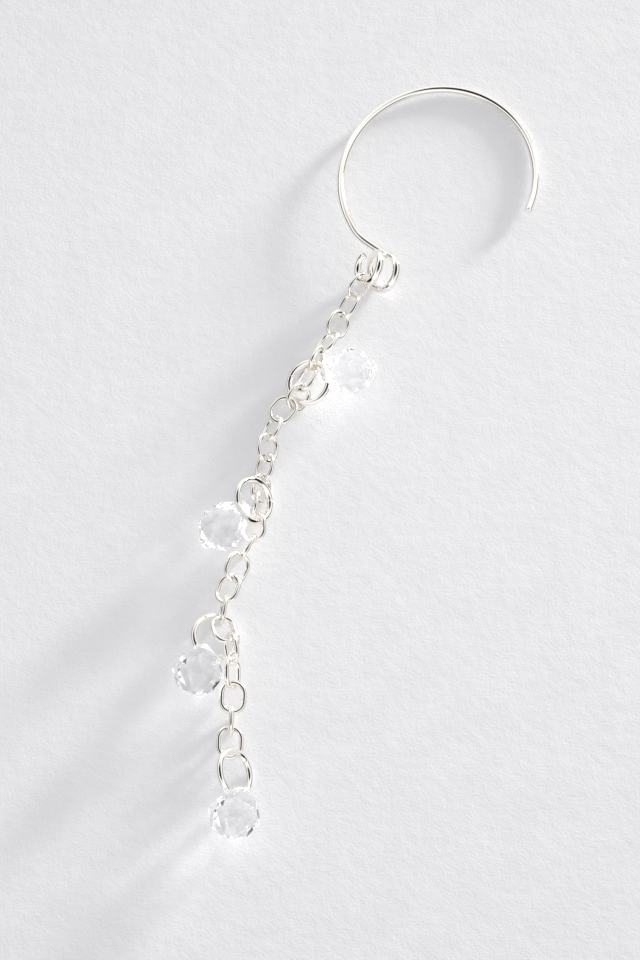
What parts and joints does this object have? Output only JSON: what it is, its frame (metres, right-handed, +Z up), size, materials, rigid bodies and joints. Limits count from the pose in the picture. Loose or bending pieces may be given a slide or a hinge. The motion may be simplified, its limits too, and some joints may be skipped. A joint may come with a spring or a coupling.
{
  "type": "hook drop earring",
  "caption": "Hook drop earring lying flat: a round-wire ear hook with a coiled eye, a fine cable chain, and clear faceted drops on jump rings.",
  "frame": {"origin": "middle of the plan outline, on the surface that the earring lies on", "axes": "+Y from the last drop to the hook's bow, +X towards the open side of the hook, +Z up from the surface"},
  "size_m": [0.0362, 0.0817, 0.0049],
  "materials": {
    "silver": "polished sterling silver",
    "crystal": "clear, faceted and polished"
  },
  "bodies": {
    "root": {"ear_hook": "silver", "chain": "silver", "jump_ring_1": "silver", "jump_ring_2": "silver", "jump_ring_3": "silver", "jump_ring_4": "silver", "crystal_drop_1": "crystal", "crystal_drop_2": "crystal", "crystal_drop_3": "crystal", "crystal_drop_4": "crystal"}
  },
  "joints": []
}
